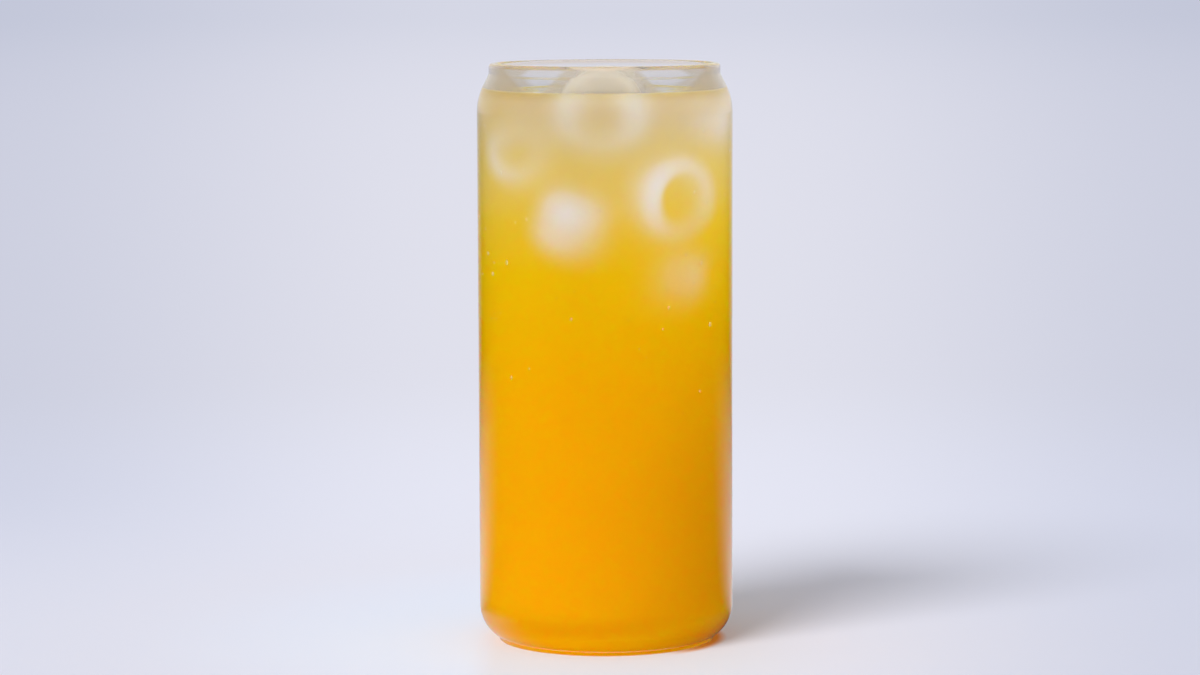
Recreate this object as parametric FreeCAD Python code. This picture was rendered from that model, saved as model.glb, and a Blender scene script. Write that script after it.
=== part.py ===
"""A can-shaped glass tumbler filled with passion fruit drink, with a tube of ice afloat in it.

Millimetres, origin at the middle of the foot, +Z up. The tumbler's wall, the drink inside it and
the drink's surface all come from one pair of profiles, turned about the Z axis.
"""
import FreeCAD, Part
import math
import os

# Tumbler, outside
height = 150.0               # foot to rim
body_diameter = 66.0
neck_inset = 3.1             # how far the collar stands in from the body, on each side
collar_height = 2.8          # straight band under the rim
collar_fillet = 1.2          # hollow between shoulder and collar
shoulder_radius = 15.8       # turn from the body into the shoulder
shoulder_lean = 26.7         # lean of the shoulder below the collar, degrees from upright
heel_radius = 9.4            # turn from the body down to the foot
foot_inset = 5.0             # how far the foot ring stands in from the body
foot_height = 0.9            # step between the foot ring and the heel
foot_width = 1.5             # flat of the ring that the tumbler stands on
foot_rounding = 0.3
punt_depth = 1.5             # hollow under the middle of the base

# Tumbler, inside
wall = 1.9
floor_thickness = 3.6        # glass over the punt, at the middle
inner_heel_radius = 7.0

# Drink
headspace = 7.3              # rim down to the drink
meniscus_radius = 2.4        # curve by which the drink climbs the wall
meniscus_width = 1.6

# Tube ice afloat at the top
ice_diameter = 22.5
ice_bore = 8.8
ice_length = 24.0
ice_rounding = 2.8           # melted outer edges of its two ends
ice_bore_rounding = 1.6
ice_rise = 6.9               # its top above the drink
ice_setback = 3.0            # its front end behind the line of the mouth
ice_offset = -1.0            # front end sideways, + is right
ice_yaw = -4.0               # degrees, front end to the left
ice_pitch = -1.0             # degrees, + is front end up

up = FreeCAD.Vector(0, 0, 1)
body_radius = body_diameter / 2
collar_radius = body_radius - neck_inset
mouth_radius = collar_radius - wall
foot_radius = body_radius - foot_inset
collar_foot = height - collar_height
drink_level = height - headspace


def at(r, z):
    """Point of the profile plane: r out from the axis, z up."""
    return FreeCAD.Vector(r, 0, z)


def toward(start, end, distance):
    """The point that lies this far from start on the way to end."""
    step = end - start
    return start + step * (distance / step.Length)


def arc(start, middle, end):
    return Part.Arc(start, middle, end).toShape()


def sweep_of_circle(centre, radius, first, last):
    """Arc about a centre between two angles, in degrees from straight outwards."""
    points = []
    for angle in (first, (first + last) / 2, last):
        turn = math.radians(angle)
        points.append(centre + at(radius * math.cos(turn), radius * math.sin(turn)))
    return arc(*points)


def rounded_path(corners):
    """Edges along (r, z, rounding) corners, each rounded by a tangent arc of its own radius."""
    edges = []
    last = at(*corners[0][:2])
    for before, corner, after in zip(corners, corners[1:], corners[2:]):
        tip, rounding = at(*corner[:2]), corner[2]
        back, ahead = at(*before[:2]) - tip, at(*after[:2]) - tip
        half_corner = back.getAngle(ahead) / 2
        if rounding > 0:
            run = rounding / math.tan(half_corner)
            start, end = toward(tip, tip + back, run), toward(tip, tip + ahead, run)
            bisector = (start + end) / 2
            reach = rounding / math.sin(half_corner) - rounding
            edges += [Part.makeLine(last, start), arc(start, toward(tip, bisector, reach), end)]
            last = end
        else:
            edges.append(Part.makeLine(last, tip))
            last = tip
    edges.append(Part.makeLine(last, at(*corners[-1][:2])))
    return edges


def turned(edges):
    """Solid of revolution about the Z axis from edges that run from the axis back to the axis."""
    first = edges[0].firstVertex().Point
    last = edges[-1].lastVertex().Point
    face = Part.Face(Part.Wire(edges + [Part.makeLine(last, first)]))
    return face.revolve(at(0, 0), up, 360)


def shoulder_corners(radius, neck_radius, neck_foot, turn_radius, fillet):
    """Body line, shoulder and collar of one side of the wall, from the body upwards."""
    lean = math.tan(math.radians(shoulder_lean))
    shoulder_foot = neck_foot - (radius - neck_radius) / lean
    return [(radius, shoulder_foot, turn_radius), (neck_radius, neck_foot, fillet)]


def outer_edges():
    """Outside of the tumbler: punt, foot ring, heel, body, shoulder and collar."""
    foot_inner = foot_radius - foot_width
    ball = (foot_inner ** 2 + punt_depth ** 2) / (2 * punt_depth)
    half = foot_inner / 2
    punt = arc(at(0, punt_depth), at(half, punt_depth - ball + math.sqrt(ball ** 2 - half ** 2)),
               at(foot_inner, 0))

    heel_centre_r = body_radius - heel_radius
    heel_turn = math.degrees(math.acos((foot_radius - heel_centre_r) / heel_radius))
    heel_centre = at(heel_centre_r, foot_height + heel_radius * math.sin(math.radians(heel_turn)))
    foot = rounded_path([(foot_inner, 0), (foot_radius, 0, foot_rounding), (foot_radius, foot_height)])
    heel = sweep_of_circle(heel_centre, heel_radius, -heel_turn, 0)

    side = rounded_path(
        [(body_radius, heel_centre.z)]
        + shoulder_corners(body_radius, collar_radius, collar_foot, shoulder_radius, collar_fillet)
        + [(collar_radius, height - wall / 2)])
    return [punt] + foot + [heel] + side


def cavity_edges():
    """Inside of the tumbler, from the middle of its floor up to the mouth."""
    floor = punt_depth + floor_thickness
    inner_neck_foot = collar_foot - wall * math.tan(math.radians(shoulder_lean) / 2)
    return rounded_path(
        [(0, floor), (body_radius - wall, floor, inner_heel_radius)]
        + shoulder_corners(body_radius - wall, mouth_radius, inner_neck_foot,
                           shoulder_radius - wall, collar_fillet + wall)
        + [(mouth_radius, height - wall / 2)])


def make_tumbler():
    """Glass shell with a fire-polished lip, rounded right across the thickness of the wall."""
    lip = arc(at(collar_radius, height - wall / 2), at(collar_radius - wall / 2, height),
              at(mouth_radius, height - wall / 2))
    inside = []
    for edge in reversed(cavity_edges()):
        inside.append(edge.reversed())
    outline = Part.Wire(Part.__sortEdges__(outer_edges() + [lip] + inside + [axis_edge()]))
    return Part.Face(outline).revolve(at(0, 0), up, 360)


def axis_edge():
    """Thickness of the base on the axis."""
    return Part.makeLine(at(0, punt_depth), at(0, punt_depth + floor_thickness))


def make_cavity():
    """Everything that the tumbler can hold, up to where its lip starts to round."""
    return turned(cavity_edges() + [Part.makeLine(at(mouth_radius, height - wall / 2),
                                                  at(0, height - wall / 2))])


def make_air(cavity):
    """Air over the drink: its underside is flat and turns up where the drink climbs the wall."""
    shore = cavity.slice(up, drink_level)[0].Edges[0].Curve.Radius
    flat_radius = shore - meniscus_width
    centre = at(flat_radius, drink_level + meniscus_radius)
    top = height + meniscus_radius
    edge_radius = flat_radius + meniscus_radius
    return turned([Part.makeLine(at(0, drink_level), at(flat_radius, drink_level)),
                   sweep_of_circle(centre, meniscus_radius, -90, 0),
                   Part.makeLine(at(edge_radius, centre.z), at(edge_radius, top)),
                   Part.makeLine(at(edge_radius, top), at(0, top))])


def make_ice():
    """Hollow tube of ice lying in the drink, one end towards the front of the glass."""
    outer, inner = ice_diameter / 2, ice_bore / 2
    section = rounded_path([
        (inner, ice_length / 2), (inner, 0, ice_bore_rounding), (outer, 0, ice_rounding),
        (outer, ice_length, ice_rounding), (inner, ice_length, ice_bore_rounding),
        (inner, ice_length / 2)])
    tube = Part.Face(Part.Wire(section)).revolve(at(0, 0), up, 360)
    tube.rotate(at(0, 0), FreeCAD.Vector(1, 0, 0), -90)
    tube.rotate(at(0, 0), FreeCAD.Vector(1, 0, 0), -ice_pitch)
    tube.rotate(at(0, 0), up, ice_yaw)
    front = ice_setback - mouth_radius
    tube.translate(FreeCAD.Vector(ice_offset, front, 0))
    tube.translate(up * (drink_level + ice_rise - tube.optimalBoundingBox().ZMax))
    return tube


def save(node, shape):
    solid = shape.removeSplitter()
    if len(solid.Solids) != 1 or not solid.isValid():
        raise ValueError(node + " is not one valid solid")
    solid.Solids[0].exportStep(os.path.join("parts", node + ".step"))
    print(node, "volume %.1f cm3" % (solid.Volume / 1000))


def main():
    os.makedirs("parts", exist_ok=True)
    cavity = make_cavity()
    ice = make_ice()
    drink = cavity.cut(make_air(cavity)).cut(ice)
    save("glass", make_tumbler())
    save("drink", drink)
    save("ice_top", ice)


main()
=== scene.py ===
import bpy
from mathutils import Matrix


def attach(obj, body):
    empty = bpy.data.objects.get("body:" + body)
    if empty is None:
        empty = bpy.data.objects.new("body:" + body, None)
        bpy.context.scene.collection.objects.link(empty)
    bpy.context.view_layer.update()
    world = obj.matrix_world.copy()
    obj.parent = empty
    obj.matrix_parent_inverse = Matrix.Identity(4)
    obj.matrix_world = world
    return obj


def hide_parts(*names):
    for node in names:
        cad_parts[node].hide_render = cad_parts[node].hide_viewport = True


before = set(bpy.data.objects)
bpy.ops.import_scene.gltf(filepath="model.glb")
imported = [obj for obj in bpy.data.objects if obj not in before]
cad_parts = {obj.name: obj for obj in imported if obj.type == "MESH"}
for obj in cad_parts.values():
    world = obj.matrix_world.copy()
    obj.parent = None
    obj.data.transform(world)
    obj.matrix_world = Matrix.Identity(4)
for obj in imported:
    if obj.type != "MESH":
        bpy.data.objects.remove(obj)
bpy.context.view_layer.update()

import math
import random

import bmesh
import bpy
from mathutils import Matrix, Vector, noise
from mathutils.bvhtree import BVHTree

mm = 0.001
axisUp = Vector((0, 0, 1))
plainWhite = (1, 1, 1, 1)
mergeDistance = 0.002 * mm


# small helpers for node trees and meshes

def newMaterial(name):
    material = bpy.data.materials.new(name)
    material.use_nodes = True
    material.node_tree.nodes.clear()
    return material, material.node_tree


def addNode(tree, kind, settings=None, inputs=None):
    node = tree.nodes.new("ShaderNode" + kind)
    for name, value in (settings or {}).items():
        setattr(node, name, value)
    for name, value in (inputs or {}).items():
        if isinstance(value, bpy.types.NodeSocket):
            tree.links.new(value, node.inputs[name])
        else:
            node.inputs[name].default_value = value
    return node


def maths(tree, operation, first, second=0.0, clamp=False):
    settings = {"operation": operation, "use_clamp": clamp}
    return addNode(tree, "Math", settings, {0: first, 1: second}).outputs[0]


def ramp(tree, value, low, high, start=0.0, end=1.0, kind="SMOOTHSTEP"):
    # start where value is low, end where it is high; low may be the larger of the two
    node = addNode(tree, "MapRange", {"interpolation_type": kind}, {
        "Value": value, "From Min": low, "From Max": high, "To Min": start, "To Max": end})
    return node.outputs["Result"]


def mixColour(tree, factor, first, second):
    node = addNode(tree, "Mix", {"data_type": "RGBA"}, {0: factor, 6: first, 7: second})
    return node.outputs[2]


def mixShaders(tree, factor, first, second):
    inputs = {0: factor, 1: first.outputs[0], 2: second.outputs[0]}
    return addNode(tree, "MixShader", inputs=inputs)


def timesVector(tree, first, second):
    return addNode(tree, "VectorMath", {"operation": "MULTIPLY"}, {0: first, 1: second}).outputs[0]


def tinted(tree, colour, amount, tint):
    # the colour times the tint, as far as the amount goes
    return timesVector(tree, colour, mixColour(tree, amount, plainWhite, tint))


def colourByHeight(tree, value, low, high, stops):
    # stops are (height, colour); the ramp runs between the heights low and high
    spread = ramp(tree, value, low, high, kind="LINEAR")
    node = addNode(tree, "ValToRGB", inputs={"Fac": spread})
    elements = node.color_ramp.elements
    while len(elements) < len(stops):
        elements.new(0.5)
    for element, (height, colour) in zip(elements, stops):
        element.position = (height - low) / (high - low)
        element.color = (*colour, 1)
    return node.outputs["Color"]


def finishSurface(tree, shader, shaderOutput="BSDF"):
    addNode(tree, "OutputMaterial", inputs={"Surface": shader.outputs[shaderOutput]})


def addPiece(name, bm, materials):
    mesh = bpy.data.meshes.new(name)
    bm.to_mesh(mesh)
    bm.free()
    for polygon in mesh.polygons:
        polygon.use_smooth = True
    piece = bpy.data.objects.new(name, mesh)
    bpy.context.collection.objects.link(piece)
    for material in materials:
        mesh.materials.append(material)
    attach(piece, "root")
    return piece


def roundedLine(corners, steps=10):
    # points along (r, z, rounding) corners, each corner turned by an arc of its own radius
    line = [Vector(corners[0][:2])]
    for before, corner, after in zip(corners, corners[1:], corners[2:]):
        tip, rounding = Vector(corner[:2]), corner[2]
        back = (Vector(before[:2]) - tip).normalized()
        ahead = (Vector(after[:2]) - tip).normalized()
        half = back.angle(ahead) / 2
        centre = tip + (back + ahead).normalized() * (rounding / math.sin(half))
        start = tip + back * (rounding / math.tan(half)) - centre
        end = tip + ahead * (rounding / math.tan(half)) - centre
        line += [centre + start.slerp(end, step / steps) * rounding for step in range(steps + 1)]
    line.append(Vector(corners[-1][:2]))
    return line


def arcLine(centre, radius, first, last, steps):
    line = []
    for step in range(steps + 1):
        turn = math.radians(first + (last - first) * step / steps)
        line.append(Vector(centre) + Vector((math.cos(turn), math.sin(turn))) * radius)
    return line


def evenly(line, spacing):
    # the same line with points no further apart than spacing
    finer = [line[0]]
    for start, end in zip(line, line[1:]):
        pieces = max(1, math.ceil((end - start).length / spacing))
        finer += [start.lerp(end, piece / pieces) for piece in range(1, pieces + 1)]
    return finer


def spinLine(line, steps):
    # turns an outline in the XZ plane about the Z axis
    bm = bmesh.new()
    verts = [bm.verts.new((point.x, 0, point.y)) for point in line]
    edges = [bm.edges.new(pair) for pair in zip(verts, verts[1:])]
    bmesh.ops.spin(bm, geom=verts + edges, cent=(0, 0, 0), axis=(0, 0, 1), angle=2 * math.pi,
                   steps=steps, use_merge=True)
    bmesh.ops.remove_doubles(bm, verts=bm.verts, dist=mergeDistance)
    bmesh.ops.recalc_face_normals(bm, faces=bm.faces)
    return bm


# camera

view = {
    "distance": 993.5 * mm,    # in front of the glass's axis
    "height": 183.2 * mm,
    "sideways": -1.4 * mm,
    "tilt": 6.0,               # degrees down
    "roll": -0.2,
    "lens": 115.35,            # millimetres on a 36 mm sensor
    "nearest": 10 * mm,        # what is closer to the camera isn't seen
}


def placeCamera():
    data = bpy.data.cameras.new("camera")
    data.lens = view["lens"]
    data.clip_start = view["nearest"]
    camera = bpy.data.objects.new("camera", data)
    camera.location = (view["sideways"], -view["distance"], view["height"])
    turned = Matrix.Rotation(math.radians(90 - view["tilt"]), 3, "X")
    rolled = Matrix.Rotation(math.radians(view["roll"]), 3, "Z")
    camera.rotation_euler = (turned @ rolled).to_euler()
    bpy.context.collection.objects.link(camera)
    bpy.context.scene.camera = camera
    print("camera placed")


# stage: pale floor, soft light

stage = {
    "radius": 14.0,
    "floor": (0.85, 0.86, 0.975, 1),
    "behind": (0.745, 0.748, 0.84, 1),     # the floor as it runs out of sight
    # painted shade: the plain floor darker far from the camera
    "far": (0.665, 0.680, 0.785, 1),
    "farFrom": (2.2, 9.0),                 # metres from the camera
    "fade": (230 * mm, 650 * mm),          # from the axis, where lit floor turns into plain floor
    "edge": (0.82, 0.84, 0.885, 1),        # painted shade: how much dimmer the floor is painted towards both sides
    "edgeSlant": (0.03, 0.17),             # sideways for each metre from the camera
    "edgeNear": (0.7, 0.1),                # metres from the camera, where it is as dim throughout
    "relief": 0.55,                        # how much less the painted shade dims it in front on the left
    "reliefDepth": (300 * mm, 0),
    "reliefWidth": (0, -60 * mm),
    "beside": (0.97, 1.065, 1.125, 1),     # painted tint that evens out the colour of the light which the drink throws on the floor
    "before": (0.96, 0.985, 0.965, 1),     # the same in front of the glass
    "beforeFrom": (-36 * mm, -27 * mm),
    "evenReach": (30 * mm, 140 * mm),      # from the axis
    "evenRight": (25 * mm, 60 * mm),       # not to the right of this, where the shadow lies
    "under": (1.0, 0.66, 0.11, 1),         # painted light: the floor inside the foot ring glows with it, in place of the light that the drink lets through
    "underStrength": (1.05, 0.61),         # at its left and its right; the painted glow is dimmer on the right
    "underWidth": (-20 * mm, 26 * mm),
    "underRim": 2 * mm,
    "paintedFootGlow": (0.98, 0.42, 0.06, 1),     # painted light: the floor tinted with the same light where it comes out round the foot
    "footGlowReach": (0.8 * mm, 4 * mm),   # from the foot ring
    "footGlowFrom": (14 * mm, 25 * mm),    # only on the right, in the shadow
}

# the floor in what gloss mirrors: dark in front of the glass, bright behind it
mirroredFloor = {
    "sideways": 0.4,                       # how far the dark part reaches round the sides
    "darkToBright": (-0.10, 0.5),
    "bright": (100 * mm, 750 * mm),        # from the axis; the bright part fades out over this
    "brightness": 0.95,
    "narrow": (0.6, 0.95),                 # but not straight behind the glass
    "farBright": (2.6, 4.0),               # nor further off than this, in metres
    "besideReach": (45 * mm, 80 * mm),     # the floor close by both sides of the foot
    "besideFrom": (-28 * mm, -6 * mm),
    "besideWidth": (0, 25 * mm),
    "besideBrightness": (0.8, 0.08),       # on the left and on the right
}

light = {
    "world": 0.50,
    "worldColour": (0.985, 0.99, 1.0, 1),
    "frontGlow": 0.01,         # what gloss mirrors from the dark room behind the camera
    "backGlow": 0.80,
    "backFrom": (0.25, 1.0),   # where the room gets brighter, 1 is straight behind the glass
    "keyAzimuth": -38.0,       # degrees, left of the camera
    "keyRise": 44.0,
    "keySoftness": 28.0,
    "keyStrength": 1.94,
    "fillPlace": Vector((890, -240, 110)) * mm,
    "fillTarget": Vector((0, 0, 128)) * mm,
    "fillSize": 60 * mm,
    "fillCone": 9.0,
    "fillPower": 25.5,
    "wallTurns": 2,            # light that the wall of the glass turns back more often is caught
    "wallPasses": 6,           # and so is light that has gone through more faces than this
}


def caughtRays(tree, path):
    return maths(tree, "GREATER_THAN", path.outputs["Glossy Depth"], light["wallTurns"])


def mirroredRays(tree, path):
    # 1 for what gloss mirrors; light that is caught in the wall counts as looked through
    through = maths(tree, "MAXIMUM", path.outputs["Is Transmission Ray"], caughtRays(tree, path))
    return maths(tree, "SUBTRACT", path.outputs["Is Glossy Ray"], through, True)


def seenRays(tree, path):
    seen = maths(tree, "MAXIMUM", path.outputs["Is Camera Ray"], path.outputs["Is Transmission Ray"])
    return maths(tree, "MAXIMUM", seen, caughtRays(tree, path))


def floorColours(tree, x, y, away):
    # the lit floor round the glass and the plain floor further off, with painted shade and painted
    # light in their colours
    # painted shade: the floor is dimmed towards both sides, less so in front on the left
    ahead = maths(tree, "MAXIMUM", maths(tree, "ADD", y, view["distance"]), view["nearest"])
    slant = maths(tree, "DIVIDE", maths(tree, "ABSOLUTE", x), ahead)
    aside = maths(tree, "MAXIMUM", ramp(tree, slant, *stage["edgeSlant"]),
                  ramp(tree, ahead, *stage["edgeNear"]))
    lighter = maths(tree, "MULTIPLY", ramp(tree, y, *stage["reliefDepth"], 0.0, stage["relief"]),
                    ramp(tree, x, *stage["reliefWidth"]))
    aside = maths(tree, "MULTIPLY", aside, maths(tree, "SUBTRACT", 1.0, lighter))
    # painted shade: the plain floor turns darker far off
    plain = mixColour(tree, ramp(tree, ahead, *stage["farFrom"]), stage["behind"], stage["far"])
    plain = tinted(tree, plain, aside, stage["edge"])
    lit = tinted(tree, stage["floor"][:3], aside, stage["edge"])
    # painted tint: near the glass, and not in the shadow, the floor's colour evens out the light that
    # the drink throws on it
    bounceCounterAmount = maths(tree, "MULTIPLY", ramp(tree, away, *stage["evenReach"], 1.0, 0.0),
                     ramp(tree, x, *stage["evenRight"], 1.0, 0.0))
    bounceCounterTint = mixColour(tree, ramp(tree, x, *stage["beforeFrom"]), stage["beside"], stage["before"])
    lit = tinted(tree, lit, bounceCounterAmount, bounceCounterTint)
    # painted light: an orange tint on the floor round the foot, on its shadow side
    foot = tumbler["bodyRadius"] - tumbler["footInset"]
    glowStart, glowEnd = (foot + reach for reach in stage["footGlowReach"])
    glowing = maths(tree, "MULTIPLY", ramp(tree, away, glowStart, glowEnd, 1.0, 0.0),
                    ramp(tree, x, *stage["footGlowFrom"]))
    lit = tinted(tree, lit, glowing, stage["paintedFootGlow"])
    return lit, plain


def floorInGloss(tree, x, y, away):
    m = mirroredFloor
    aside = maths(tree, "MULTIPLY", maths(tree, "ABSOLUTE", x), m["sideways"])
    behind = maths(tree, "DIVIDE", maths(tree, "SUBTRACT", y, aside), away)
    bright = ramp(tree, away, *m["bright"], m["brightness"], 0.0)
    bright = maths(tree, "MAXIMUM", bright, ramp(tree, behind, *m["narrow"]))
    bright = maths(tree, "MAXIMUM", bright, ramp(tree, away, *m["farBright"]))
    behind = ramp(tree, behind, *m["darkToBright"], light["frontGlow"], 1.0)
    behind = maths(tree, "MULTIPLY", behind, bright)
    beside = maths(tree, "MULTIPLY", ramp(tree, away, *m["besideReach"], 1.0, 0.0),
                   ramp(tree, y, *m["besideFrom"]))
    beside = maths(tree, "MULTIPLY", beside,
                   ramp(tree, x, *m["besideWidth"], *m["besideBrightness"]))
    return maths(tree, "MAXIMUM", behind, beside)


def floorMaterial():
    material, tree = newMaterial("paleFloor")
    place = addNode(tree, "TexCoord").outputs["Object"]
    parts = addNode(tree, "SeparateXYZ", inputs={0: place})
    x, y = parts.outputs["X"], parts.outputs["Y"]
    away = addNode(tree, "VectorMath", {"operation": "LENGTH"}, {0: place}).outputs["Value"]
    path = addNode(tree, "LightPath")
    lit, plain = floorColours(tree, x, y, away)
    shade = addNode(tree, "BsdfDiffuse", inputs={"Color": lit})
    mirrored = mirroredRays(tree, path)
    change = maths(tree, "SUBTRACT", floorInGloss(tree, x, y, away), 1.0)
    strength = maths(tree, "ADD", 1.0, maths(tree, "MULTIPLY", mirrored, change))
    glow = addNode(tree, "Emission", inputs={"Color": plain, "Strength": strength})
    glowing = maths(tree, "MULTIPLY", seenRays(tree, path), ramp(tree, away, *stage["fade"]))
    mix = mixShaders(tree, maths(tree, "MAXIMUM", glowing, mirrored), shade, glow)
    # painted light: the floor inside the foot ring glows, in place of the light that comes down through
    # the drink
    ring = tumbler["bodyRadius"] - tumbler["footInset"] - tumbler["footWidth"]
    underneath = ramp(tree, away, ring - stage["underRim"], ring, 1.0, 0.0)
    strength = ramp(tree, x, *stage["underWidth"], *stage["underStrength"])
    paintedUnderLight = addNode(tree, "Emission", inputs={"Color": stage["under"], "Strength": strength})
    finishSurface(tree, mixShaders(tree, underneath, mix, paintedUnderLight), "Shader")
    return material


def layFloor():
    bm = bmesh.new()
    bmesh.ops.create_circle(bm, cap_ends=True, cap_tris=True, segments=96, radius=stage["radius"])
    mesh = bpy.data.meshes.new("floor")
    bm.to_mesh(mesh)
    bm.free()
    mesh.materials.append(floorMaterial())
    floor = bpy.data.objects.new("floor", mesh)
    bpy.context.collection.objects.link(floor)
    print("floor laid")


def lightRoom():
    world = bpy.data.worlds.new("softRoom")
    bpy.context.scene.world = world
    world.use_nodes = True
    tree = world.node_tree
    tree.nodes.clear()
    direction = addNode(tree, "TexCoord").outputs["Generated"]
    ahead = addNode(tree, "SeparateXYZ", inputs={0: direction}).outputs["Y"]
    mirrored = ramp(tree, ahead, *light["backFrom"], light["frontGlow"], light["backGlow"])
    path = addNode(tree, "LightPath")
    strengths = {0: path.outputs["Is Glossy Ray"], 2: light["world"], 3: mirrored}
    strength = addNode(tree, "Mix", inputs=strengths).outputs[0]
    room = addNode(tree, "Background", inputs={"Color": light["worldColour"], "Strength": strength})
    sky = addNode(tree, "Background", inputs={"Color": stage["far"], "Strength": 1.0})
    mix = mixShaders(tree, seenRays(tree, path), room, sky)
    addNode(tree, "OutputWorld", inputs={"Surface": mix.outputs[0]})


def addLamp(name, kind, power):
    # it lights the surfaces but isn't mirrored or seen through the glass
    data = bpy.data.lights.new(name, kind)
    data.energy = power
    lamp = bpy.data.objects.new(name, data)
    lamp.visible_glossy = False
    lamp.visible_transmission = False
    bpy.context.collection.objects.link(lamp)
    return lamp


def addLamps():
    key = addLamp("keyLight", "SUN", light["keyStrength"])
    key.data.angle = math.radians(light["keySoftness"])
    key.rotation_euler = (math.radians(90 - light["keyRise"]), 0, math.radians(light["keyAzimuth"]))
    fill = addLamp("fillLight", "SPOT", light["fillPower"])
    fill.data.shadow_soft_size = light["fillSize"]
    fill.data.spot_size = math.radians(light["fillCone"])
    fill.data.spot_blend = 1.0
    fill.location = light["fillPlace"]
    fill.rotation_euler = (light["fillTarget"] - fill.location).to_track_quat("-Z", "Y").to_euler()
    print("stage lit")


# tumbler

tumbler = {
    "height": 150.0 * mm,
    "bodyRadius": 33.0 * mm,
    "neckInset": 3.1 * mm,
    "collarHeight": 2.8 * mm,
    "collarFillet": 1.2 * mm,
    "shoulderRadius": 15.8 * mm,
    "shoulderLean": 26.7,      # degrees from upright, at its top
    "heelRadius": 9.4 * mm,
    "footInset": 5.0 * mm,
    "footHeight": 0.9 * mm,
    "footWidth": 1.5 * mm,
    "footRounding": 0.3 * mm,
    "puntDepth": 1.5 * mm,
    "wall": 1.9 * mm,
    "floorThickness": 3.6 * mm,
    "innerHeelRadius": 7.0 * mm,
    "turns": 256,              # faces round it
    "spacing": 6 * mm,         # longest edge along its side
    "sharp": 0.5,              # radians; a sharper edge stays crisp
    "colour": (0.97, 0.975, 0.98, 1),
    "refraction": 1.5,
}

mist = {
    "line": 84.0 * mm,         # lower edge of the condensation
    "lineSoftness": 0.5 * mm,
    "lineWander": 0.5 * mm,
    "wanderScale": 70.0,
    "top": 142.0 * mm,         # it thins out above the drink
    "topSoftness": 2.2 * mm,
    "climb": 6.5 * mm,         # it reaches higher at the sides and where ice cools the glass
    "sides": (18 * mm, 28 * mm),
    "haze": 0.22,              # what little there is of it between those places
    "iceSide": Vector((-1.0, -31.0, 0)) * mm,
    "iceReach": (8 * mm, 17 * mm),
    "roughness": 0.14,
    "streakScale": (900, 900, 60),
    "streakRange": (0.94, 1.06),
    "paintedNeckLight": (0.76, 0.645, 0.455, 1),   # painted light: the drink's colour below, shown in the mist at the neck
    "neckFrom": (140.5 * mm, 144 * mm),
    # painted light: the drink's colour at the lip
    "paintedLipLight": (0.87, 0.66, 0.42, 1),
    "lipFrom": (148.6 * mm, 149.4 * mm),
    # how much of the light it stops, at heights in millimetres
    "whiteness": ((84, 0.0), (98, 0.001), (110, 0.02), (120, 0.08), (132, 0.13), (150, 0.15)),
}


def shoulderCorners(radius, neckRadius, neckFoot, turnRadius, fillet):
    lean = math.tan(math.radians(tumbler["shoulderLean"]))
    shoulder = neckFoot - (radius - neckRadius) / lean
    return [(radius, shoulder, turnRadius), (neckRadius, neckFoot, fillet)]


def outerLine():
    t = tumbler
    body = t["bodyRadius"]
    foot = body - t["footInset"]
    footInner = foot - t["footWidth"]
    ball = (footInner ** 2 + t["puntDepth"] ** 2) / (2 * t["puntDepth"])
    puntTurn = math.degrees(math.asin(footInner / ball))
    line = arcLine((0, t["puntDepth"] - ball), ball, 90, 90 - puntTurn, steps=10)
    ring = [(footInner, 0), (foot, 0, t["footRounding"]), (foot, t["footHeight"])]
    line += roundedLine(ring, steps=4)[1:]
    heelMiddle = body - t["heelRadius"]
    heelTurn = math.acos((foot - heelMiddle) / t["heelRadius"])
    heelCentre = (heelMiddle, t["footHeight"] + t["heelRadius"] * math.sin(heelTurn))
    line += arcLine(heelCentre, t["heelRadius"], -math.degrees(heelTurn), 0, steps=16)[1:]
    collarRadius = body - t["neckInset"]
    collarFoot = t["height"] - t["collarHeight"]
    side = [(body, heelCentre[1])]
    side += shoulderCorners(body, collarRadius, collarFoot, t["shoulderRadius"], t["collarFillet"])
    side.append((collarRadius, t["height"] - t["wall"] / 2))
    line += evenly(roundedLine(side, steps=14), t["spacing"])[1:]
    return line


def innerLine(wall):
    # inside of the glass from the middle of its floor to the mouth, for this thickness of wall
    t = tumbler
    radius = t["bodyRadius"] - wall
    mouth = t["bodyRadius"] - t["neckInset"] - wall
    floor = t["puntDepth"] + t["floorThickness"] - (t["wall"] - wall)
    neckFoot = t["height"] - t["collarHeight"] - wall * math.tan(math.radians(t["shoulderLean"]) / 2)
    turnRadius = t["shoulderRadius"] - wall
    corners = [(0, floor), (radius, floor, t["innerHeelRadius"] + t["wall"] - wall)]
    corners += shoulderCorners(radius, mouth, neckFoot, turnRadius, t["collarFillet"] + wall)
    corners.append((mouth, t["height"] - t["wall"] / 2))
    return roundedLine(corners, steps=14)


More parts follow.
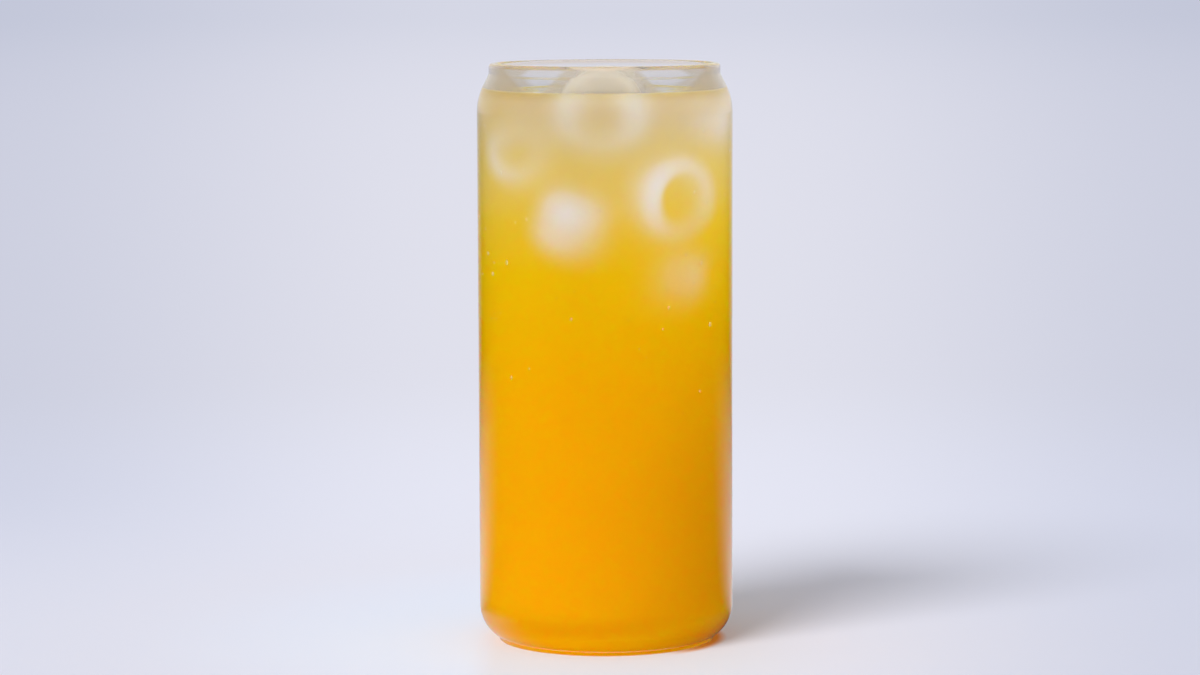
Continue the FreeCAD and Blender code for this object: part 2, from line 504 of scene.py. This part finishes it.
def mistAmount(tree, place, height):
    # 0 where the glass is clear, 1 in the mist, on the outer face only
    noiseInputs = {"Vector": place, "Scale": mist["wanderScale"], "Detail": 2.0}
    wander = addNode(tree, "TexNoise", inputs=noiseInputs).outputs["Fac"]
    shift = ramp(tree, wander, 0.2, 0.8, -mist["lineWander"], mist["lineWander"], "LINEAR")
    level = maths(tree, "ADD", height, shift)
    above = ramp(tree, level, mist["line"] - mist["lineSoftness"], mist["line"] + mist["lineSoftness"])
    across = maths(tree, "ABSOLUTE", addNode(tree, "SeparateXYZ", inputs={0: place}).outputs["X"])
    ends = {0: timesVector(tree, place, (1, 1, 0)), 1: mist["iceSide"]}
    near = addNode(tree, "VectorMath", {"operation": "DISTANCE"}, ends).outputs["Value"]
    higher = maths(tree, "MAXIMUM", ramp(tree, across, *mist["sides"]),
                   ramp(tree, near, *mist["iceReach"], 1.0, 0.0))
    below = maths(tree, "SUBTRACT", level, maths(tree, "MULTIPLY", higher, mist["climb"]))
    below = ramp(tree, below, mist["top"], mist["top"] + mist["topSoftness"], 1.0, mist["haze"])
    outside = addNode(tree, "Attribute", {"attribute_name": "outside"}).outputs["Fac"]
    return maths(tree, "MULTIPLY", maths(tree, "MULTIPLY", above, below), outside)


def lampsPass(tree, shader):
    # lamps, scattered light and light caught inside the wall go straight through it
    path = addNode(tree, "LightPath")
    through = maths(tree, "MAXIMUM", path.outputs["Is Shadow Ray"], path.outputs["Is Diffuse Ray"])
    passes = path.outputs["Transmission Depth"]
    trapped = maths(tree, "GREATER_THAN", passes, light["wallPasses"])
    trapped = maths(tree, "MAXIMUM", trapped, caughtRays(tree, path))
    through = maths(tree, "MAXIMUM", through, trapped)
    clear = addNode(tree, "BsdfTransparent")
    finishSurface(tree, mixShaders(tree, through, shader, clear), "Shader")


def glassMaterial():
    material, tree = newMaterial("clearGlass")
    place = addNode(tree, "TexCoord").outputs["Object"]
    height = addNode(tree, "SeparateXYZ", inputs={0: place}).outputs["Z"]
    amount = mistAmount(tree, place, height)
    stops = [(level * mm, (white, white, white)) for level, white in mist["whiteness"]]
    white = colourByHeight(tree, height, stops[0][0], stops[-1][0], stops)
    stretched = addNode(tree, "Mapping", inputs={"Vector": place, "Scale": mist["streakScale"]})
    noiseInputs = {"Vector": stretched.outputs[0], "Scale": 1.0, "Detail": 3.0}
    streaks = addNode(tree, "TexNoise", inputs=noiseInputs)
    streak = ramp(tree, streaks.outputs["Fac"], 0.3, 0.7, *mist["streakRange"], "LINEAR")
    whitened = maths(tree, "MULTIPLY", maths(tree, "MULTIPLY", white, streak), amount)
    clearness = maths(tree, "SUBTRACT", 1.0, whitened, clamp=True)
    roughness = maths(tree, "MULTIPLY", maths(tree, "MULTIPLY", amount, mist["roughness"]), streak)
    # painted light: the glass takes a little of the drink's colour at the neck and the lip, in place of
    # the light that the wall leads up there
    paintedNeckShare = maths(tree, "MULTIPLY", amount, ramp(tree, height, *mist["neckFrom"]))
    tint = mixColour(tree, paintedNeckShare, tumbler["colour"], mist["paintedNeckLight"])
    outside = addNode(tree, "Attribute", {"attribute_name": "outside"}).outputs["Fac"]
    lip = maths(tree, "MULTIPLY", outside, ramp(tree, height, *mist["lipFrom"]))
    tint = mixColour(tree, lip, tint, mist["paintedLipLight"])
    glass = addNode(tree, "BsdfPrincipled", inputs={
        "Base Color": tint, "IOR": tumbler["refraction"], "Transmission Weight": clearness,
        "Roughness": roughness})
    lampsPass(tree, glass)
    return material


def makeTumbler():
    t = tumbler
    outer = outerLine()
    lipRadius = t["wall"] / 2
    lipCentre = (t["bodyRadius"] - t["neckInset"] - lipRadius, t["height"] - lipRadius)
    lip = arcLine(lipCentre, lipRadius, 0, 180, steps=12)
    inside = list(reversed(evenly(innerLine(t["wall"]), t["spacing"])))
    bm = spinLine(outer + lip[1:] + inside[1:], t["turns"])
    skin = bm.verts.layers.float.new("outside")
    # the outer face goes up to the middle of the lip
    outerPoints = {(round(point.x, 6), round(point.y, 6)) for point in outer + lip[:7]}
    for vert in bm.verts:
        radius = math.hypot(vert.co.x, vert.co.y)
        vert[skin] = float((round(radius, 6), round(vert.co.z, 6)) in outerPoints)
    for edge in bm.edges:
        if edge.calc_face_angle(0) > t["sharp"]:
            edge.smooth = False
    piece = addPiece("tumbler", bm, [glassMaterial()])
    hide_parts("glass")
    print("tumbler turned")


# drops of water on the outside

drops = {
    "count": 130,
    "seed": 7,
    "lowest": 58 * mm,
    "highest": 138 * mm,
    "belowMist": 0.3,          # share of them that stays where the glass is clear
    "size": (0.14, 0.46),      # millimetres, half across
    "fewLarge": 2.4,           # the higher, the fewer large ones
    "longest": 1.35,           # how much higher than wide
    "flatness": 0.42,
    "sunk": 0.3,               # share of its height that reaches into the wall's face
    "colour": (0.99, 0.99, 0.99, 1),
    "refraction": 1.33,
    "roughness": 0.02,
}


def dropMaterial():
    material, tree = newMaterial("waterDrop")
    water = addNode(tree, "BsdfPrincipled", inputs={
        "Base Color": drops["colour"], "IOR": drops["refraction"], "Transmission Weight": 1.0,
        "Roughness": drops["roughness"]})
    lampsPass(tree, water)
    return material


def makeDrops():
    # few where the glass is clear, more in the mist
    dice = random.Random(drops["seed"])
    underside = tumbler["bodyRadius"] - tumbler["heelRadius"]
    skin = [point for point in evenly(outerLine(), 1 * mm) if point.x > underside]
    small, large = drops["size"]
    bm = bmesh.new()
    made = 0
    while made < drops["count"]:
        height = dice.uniform(drops["lowest"], drops["highest"])
        if height < mist["line"] and dice.random() > drops["belowMist"]:
            continue
        radius = min(skin, key=lambda point: abs(point.y - height)).x
        size = (small + (large - small) * dice.random() ** drops["fewLarge"]) * mm
        turn = dice.uniform(0, 2 * math.pi)
        out = Vector((math.sin(turn), -math.cos(turn), 0))
        place = out * (radius + size * drops["flatness"] * (1 - 2 * drops["sunk"])) + axisUp * height
        length = size * dice.uniform(1.0, drops["longest"])
        stretch = Matrix.Diagonal((size, length, size * drops["flatness"], 1))
        turned = out.to_track_quat("Z", "Y").to_matrix().to_4x4()
        bmesh.ops.create_icosphere(bm, subdivisions=2, radius=1.0,
                                   matrix=Matrix.Translation(place) @ turned @ stretch)
        made += 1
    addPiece("waterDrops", bm, [dropMaterial()])
    print("drops made:", made)


# tube ice

ice = {
    "turns": 56,               # faces round a tube
    "spacing": 1.2 * mm,
    "boreRounding": 1.6 * mm,
    "melt": 0.35 * mm,         # unevenness of its melted faces
    "waves": 90,               # in that unevenness, long ones
    "grain": 260,              # and short ones
    "grainShare": 0.35,
    "seedStep": 3.7,           # from each tube to the next, so that no two are alike
    "cloudScale": 140.0,
    "cloudy": (0.88, 0.85, 0.81, 1),
    "clear": (0.96, 0.94, 0.93, 1),
    "roughness": 0.1,
    "refraction": 1.31,
    "scatter": (4 * mm, (1.0, 0.9, 0.8)),
}

# across, bore and length in millimetres; place is the direction from the axis in degrees, 0 to the
# front and + to the right; facing and tip say where the tube's axis points; gap is to the glass
sunkIce = {
    "iceLeft": {"across": 17.4, "bore": 7.0, "length": 7.0, "round": 2.2, "place": -54, "height": 127.6,
                "facing": -37, "tip": 22, "gap": 2.0},
    "iceFront": {"across": 19.0, "bore": 2.0, "length": 19.0, "round": 6.8, "place": -20.5,
                 "height": 111.4, "facing": 35, "tip": 64, "gap": 0.3},
    "iceRight": {"across": 22.5, "bore": 12.6, "length": 10.5, "round": 2.6, "place": 39.5,
                 "height": 117.0, "facing": 48, "tip": -8, "gap": 0.4},
    "iceRightLow": {"across": 16.0, "bore": 6.0, "length": 13.0, "round": 4.5, "place": 49.5,
                    "height": 97.2, "facing": 116, "tip": -8, "gap": 3.3},
    "iceRightTop": {"across": 13.4, "bore": 4.0, "length": 12.0, "round": 3.6, "place": 70,
                    "height": 134.3, "facing": 60, "tip": 72, "gap": 3.0},
    "iceBackRight": {"across": 21.0, "bore": 9.0, "length": 14.0, "round": 2.6, "place": 142,
                     "height": 126.5, "facing": 140, "tip": 12, "gap": 0.8},
    "iceBackLeft": {"across": 20.0, "bore": 5.0, "length": 18.0, "round": 5.0, "place": -135,
                    "height": 112.5, "facing": -60, "tip": 58, "gap": 0.8},
    "iceBackTop": {"across": 16.0, "bore": 6.0, "length": 12.0, "round": 2.6, "place": -150,
                   "height": 133.0, "facing": -125, "tip": 8, "gap": 1.4},
    "iceBackLow": {"across": 18.0, "bore": 6.0, "length": 12.0, "round": 4.0, "place": 150,
                   "height": 101.0, "facing": 100, "tip": -14, "gap": 1.6},
}

topIce = {
    "across": 22.5, "bore": 8.8, "length": 24.0, "round": 2.8, "seed": 41.0,
    "front": -25.0,            # its front end, from the axis
    "aside": -1.0, "top": 149.6,
    "yaw": -4.0, "pitch": -1.0,
}


def tubeMesh(across, bore, length, rounding, seed):
    outer, inner, half = across * mm / 2, bore * mm / 2, length * mm / 2
    edge = [(inner, 0), (inner, -half, ice["boreRounding"]), (outer, -half, rounding * mm),
            (outer, half, rounding * mm), (inner, half, ice["boreRounding"]), (inner, 0)]
    line = evenly(roundedLine(edge, steps=7), ice["spacing"])
    bm = spinLine(line, ice["turns"])
    for vert in bm.verts:
        out = Vector((vert.co.x, vert.co.y, 0)).normalized()
        wave = noise.noise(vert.co * ice["waves"] + Vector((seed, 0, 0)))
        grain = noise.noise(vert.co * ice["grain"] + Vector((0, seed, 0)))
        vert.co += out * (wave + ice["grainShare"] * grain) * ice["melt"]
    return bm


def aim(facing, tip):
    turn, rise = math.radians(facing), math.radians(tip)
    level = math.cos(rise)
    direction = Vector((math.sin(turn) * level, -math.cos(turn) * level, math.sin(rise)))
    return direction.to_track_quat("Z", "Y").to_matrix()


def pushToWall(bm, place, gap):
    # slides the tube outwards until its nearest point is this far from the glass
    turn = math.radians(place)
    way = Vector((math.sin(turn), -math.cos(turn)))
    near = 1 * mm
    wall = evenly(innerLine(tumbler["wall"]), near)
    slides = []
    for vert in bm.verts:
        reach = min(point.x for point in wall if abs(point.y - vert.co.z) < near) - gap * mm
        flat = vert.co.xy
        along = flat.dot(way)
        slides.append(math.sqrt(along ** 2 - flat.length_squared + reach ** 2) - along)
    bmesh.ops.translate(bm, verts=bm.verts, vec=Vector((*way, 0)) * min(slides))


def iceMaterial():
    material, tree = newMaterial("wetIce")
    place = addNode(tree, "TexCoord").outputs["Object"]
    noiseInputs = {"Vector": place, "Scale": ice["cloudScale"], "Detail": 4.0}
    cloud = addNode(tree, "TexNoise", inputs=noiseInputs).outputs["Fac"]
    colour = mixColour(tree, ramp(tree, cloud, 0.35, 0.7), ice["cloudy"], ice["clear"])
    bump = addNode(tree, "Bump", inputs={"Strength": 0.15, "Distance": 0.3 * mm, "Height": cloud})
    depth, spread = ice["scatter"]
    shader = addNode(tree, "BsdfPrincipled", inputs={
        "Base Color": colour, "Roughness": ice["roughness"], "IOR": ice["refraction"],
        "Transmission Weight": 0.2, "Subsurface Weight": 0.6, "Subsurface Radius": spread,
        "Subsurface Scale": depth, "Normal": bump.outputs[0]})
    finishSurface(tree, shader)
    return material


def makeIce():
    material = iceMaterial()
    pieces = {}
    for index, (name, tube) in enumerate(sunkIce.items()):
        seed = ice["seedStep"] * index
        bm = tubeMesh(tube["across"], tube["bore"], tube["length"], tube["round"], seed)
        bmesh.ops.rotate(bm, verts=bm.verts, cent=(0, 0, 0), matrix=aim(tube["facing"], tube["tip"]))
        bmesh.ops.translate(bm, verts=bm.verts, vec=axisUp * tube["height"] * mm)
        pushToWall(bm, tube["place"], tube["gap"])
        pieces[name] = addPiece(name, bm, [material])
    bm = tubeMesh(topIce["across"], topIce["bore"], topIce["length"], topIce["round"], topIce["seed"])
    bmesh.ops.translate(bm, verts=bm.verts, vec=axisUp * topIce["length"] * mm / 2)
    turned = Matrix.Rotation(math.radians(topIce["yaw"]), 3, "Z")
    turned = turned @ Matrix.Rotation(math.radians(-90 - topIce["pitch"]), 3, "X")
    bmesh.ops.rotate(bm, verts=bm.verts, cent=(0, 0, 0), matrix=turned)
    rise = topIce["top"] * mm - max(vert.co.z for vert in bm.verts)
    bmesh.ops.translate(bm, verts=bm.verts, vec=(topIce["aside"] * mm, topIce["front"] * mm, rise))
    top = addPiece("iceTop", bm, [material])
    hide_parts("ice_top")
    pieces["iceTop"] = top
    print("ice made:", len(pieces), "tubes")
    return pieces


# drink

drink = {
    "headspace": 7.3 * mm,     # from the rim down to its surface
    "reach": 0.05 * mm,        # into the wall of the glass, so that no air shows between
    "climb": 0.4 * mm,         # up the glass and up the ice
    "climbWidth": 1.6 * mm,
    "climbCurve": 2.2,         # the higher, the steeper close to the glass
    "climbSteps": 6,
    "iceClimbWidth": 0.8 * mm,
    "turns": 224,              # faces round it
    "spacing": 6 * mm,
    "fineSpacing": 0.9 * mm,
    "fineFrom": 76 * mm,       # fine mesh above, where ice shows through
    "refraction": 1.34,
    # roughness, gloss and how pale: of its side, which the glass covers, and of its surface
    "side": (0.9, 0.0, 0.0),
    "top": (0.03, 0.5, 0.9),
    "swirlScale": 38.0,
    "swirlReach": 2 * mm,
    # height in millimetres and colour there
    "colours": (
        (6, (0.94, 0.445, 0.0012)),
        (15, (0.91, 0.425, 0.0012)),
        (40, (0.89, 0.418, 0.0012)),
        (68, (0.86, 0.442, 0.0012)),
        (82, (0.83, 0.475, 0.0012)),
        (96, (0.82, 0.510, 0.0012)),
        (112, (0.78, 0.520, 0.004)),
        (124, (0.73, 0.505, 0.028)),
        (134, (0.64, 0.450, 0.072)),
        (139, (0.58, 0.410, 0.105)),
        (144, (0.50, 0.360, 0.115)),
    ),
    "iceColour": (0.79, 0.735, 0.685, 1),
    "surface": (0.76, 0.69, 0.52, 1),      # pale where it is looked at from above
    "surfaceRim": (26.5 * mm, 29 * mm),    # but not close to the glass
    # how far light spreads in it, and the share of each colour low down and near the top
    "scatter": (36 * mm, (1.0, 0.08, 0.02), (0.30, 0.22, 0.08)),
    "scatterFrom": (60 * mm, 125 * mm),
    "seeDepth": (3.8 * mm, 9.0 * mm),      # how far one sees into it low down and near the top
    "seeFrom": (128 * mm, 142 * mm),
    "rays": 28,                # looks into it from each point
    "spread": 22.0,            # degrees, half the width of their cone
    "edgeBend": 1.5,           # towards its left and right edges one looks in more squarely
}


def drinkMaterial(name, roughness, gloss, pale):
    material, tree = newMaterial(name)
    place = addNode(tree, "TexCoord").outputs["Object"]
    height = addNode(tree, "SeparateXYZ", inputs={0: place}).outputs["Z"]
    swirl = addNode(tree, "TexNoise", inputs={
        "Vector": place, "Scale": drink["swirlScale"], "Detail": 3.0, "Distortion": 0.6})
    sway = drink["swirlReach"]
    shift = ramp(tree, swirl.outputs["Fac"], 0.3, 0.7, -sway, sway, "LINEAR")
    stops = [(level * mm, colour) for level, colour in drink["colours"]]
    colour = colourByHeight(tree, maths(tree, "ADD", height, shift), stops[0][0], stops[-1][0], stops)
    near = addNode(tree, "Attribute", {"attribute_name": "iceGlow"}).outputs["Fac"]
    flat = timesVector(tree, place, (1, 1, 0))
    radius = addNode(tree, "VectorMath", {"operation": "LENGTH"}, {0: flat}).outputs["Value"]
    paleness = ramp(tree, radius, *drink["surfaceRim"], pale, 0.0)
    colour = mixColour(tree, paleness, colour, drink["surface"])
    colour = mixColour(tree, near, colour, drink["iceColour"])
    distance, below, above = drink["scatter"]
    low, high = drink["scatterFrom"]
    reach = colourByHeight(tree, height, low, high, [(low, below), (high, above)])
    shader = addNode(tree, "BsdfPrincipled", inputs={
        "Base Color": colour, "Roughness": roughness, "IOR": drink["refraction"],
        "Specular IOR Level": gloss, "Subsurface Weight": 1.0, "Subsurface Radius": reach,
        "Subsurface Scale": distance})
    finishSurface(tree, shader)
    return material


def drinkShape(level):
    # the inside of the glass up to the drink's edge, the climb, and the flat surface
    line = innerLine(tumbler["wall"] - drink["reach"])
    top = level + drink["climb"]
    side = [point for point in line if point.y < top]
    nextPoint = line[len(side)]
    share = (top - side[-1].y) / (nextPoint.y - side[-1].y)
    side.append(side[-1].lerp(nextPoint, share))
    coarse = [point for point in side if point.y < drink["fineFrom"]]
    joint = Vector((coarse[-1].x, drink["fineFrom"]))
    fine = [joint] + side[len(coarse):]
    shore = side[-1].x
    climb = []
    for step in range(1, drink["climbSteps"] + 1):
        share = step / drink["climbSteps"]
        rise = drink["climb"] * (1 - share) ** drink["climbCurve"]
        climb.append(Vector((shore - drink["climbWidth"] * share, level + rise)))
    spacing, fineSpacing = drink["spacing"], drink["fineSpacing"]
    line = evenly(coarse + [joint], spacing) + evenly(fine, fineSpacing)[1:] + climb
    line += evenly([climb[-1], Vector((0, level))], fineSpacing)[1:]
    return spinLine(line, drink["turns"])


def raiseShore(bm, level, tree):
    # the drink climbs a little where ice stands out of it
    for vert in bm.verts:
        if vert.co.z < level - 0.01 * mm:    # the side of the drink stays as it is
            continue
        near = tree.find_nearest(vert.co)[3]
        vert.co.z += drink["climb"] * math.exp(-near / drink["iceClimbWidth"])


def coneOfRays(count, spread):
    # directions about +Z, even over a cap of this half angle
    rays = []
    rim = math.cos(math.radians(spread))
    for index in range(count):
        height = 1 - (1 - rim) * (index + 0.5) / count
        turn = index * math.pi * (3 - math.sqrt(5))    # the golden angle
        width = math.sqrt(1 - height ** 2)
        rays.append(Vector((width * math.cos(turn), width * math.sin(turn), height)))
    return rays


def bentInwards(normal):
    # the way one looks into the drink from in front or behind, bent by its surface
    look = Vector((0, -1 if normal.y > 0 else 1, 0))
    slide = look - look.dot(normal) * normal
    slide *= min(1, abs(normal.y) * drink["edgeBend"]) / drink["refraction"]
    return slide - normal * math.sqrt(max(0, 1 - slide.length_squared))


def paintIceGlow(mesh, pieces):
    # how much ice one sees through the cloudy drink at each point of its skin
    bm = bmesh.new()
    for piece in pieces.values():
        bm.from_mesh(piece.data)
    tree = BVHTree.FromBMesh(bm)
    bm.free()
    rays = coneOfRays(drink["rays"], drink["spread"])
    near, far = drink["seeDepth"]
    low, high = drink["seeFrom"]
    glow = mesh.attributes.new("iceGlow", "FLOAT", "POINT")
    values = [0.0] * len(mesh.vertices)
    for index, vert in enumerate(mesh.vertices):
        if vert.co.z < drink["fineFrom"]:
            continue
        share = min(1, max(0, (vert.co.z - low) / (high - low)))
        depth = near + (far - near) * share
        farthest = 5 * depth    # ice beyond it doesn't show
        turned = bentInwards(vert.normal).to_track_quat("Z", "Y")
        total = 0.0
        for ray in rays:
            hit = tree.ray_cast(vert.co, turned @ ray, farthest)
            if hit[0] is not None:
                total += math.exp(-hit[3] / depth)    # hit[3] is how far away the ice is
        values[index] = total / len(rays)
    glow.data.foreach_set("value", values)


def iceCutter(cutter):
    # the tube at the top, smaller all round by the drink's reach
    for vert in cutter.verts:
        vert.co -= vert.normal * drink["reach"]
    mesh = bpy.data.meshes.new("iceCut")
    cutter.to_mesh(mesh)
    cut = bpy.data.objects.new("iceCut", mesh)
    bpy.context.collection.objects.link(cut)
    return cut


def makeDrink(pieces):
    level = tumbler["height"] - drink["headspace"]
    bm = drinkShape(level)
    cutter = bmesh.new()
    cutter.from_mesh(pieces["iceTop"].data)
    raiseShore(bm, level, BVHTree.FromBMesh(cutter))
    cut = iceCutter(cutter)
    cutter.free()
    cloudy = drinkMaterial("cloudyDrink", *drink["side"])
    surface = drinkMaterial("drinkSurface", *drink["top"])
    piece = addPiece("drinkBody", bm, [cloudy, surface])
    boolean = piece.modifiers.new("roundIce", "BOOLEAN")
    boolean.operation = "DIFFERENCE"
    boolean.solver = "EXACT"
    boolean.object = cut
    evaluated = piece.evaluated_get(bpy.context.evaluated_depsgraph_get())
    shaped = bpy.data.meshes.new_from_object(evaluated)
    piece.modifiers.clear()
    piece.data = shaped
    bpy.data.objects.remove(cut)
    paintIceGlow(shaped, pieces)
    for polygon in shaped.polygons:
        # the flat surface and its climb, not the walls of the pocket round the ice
        facesUp = polygon.normal.z > 0.3 and polygon.center.z > level - 0.2 * mm
        polygon.material_index = int(facesUp)
        polygon.use_smooth = True
    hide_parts("drink")
    print("drink poured,", len(shaped.polygons), "faces")


placeCamera()
layFloor()
lightRoom()
addLamps()
makeTumbler()
makeDrops()
icePieces = makeIce()
makeDrink(icePieces)

bpy.context.scene.view_settings.view_transform = "Standard"
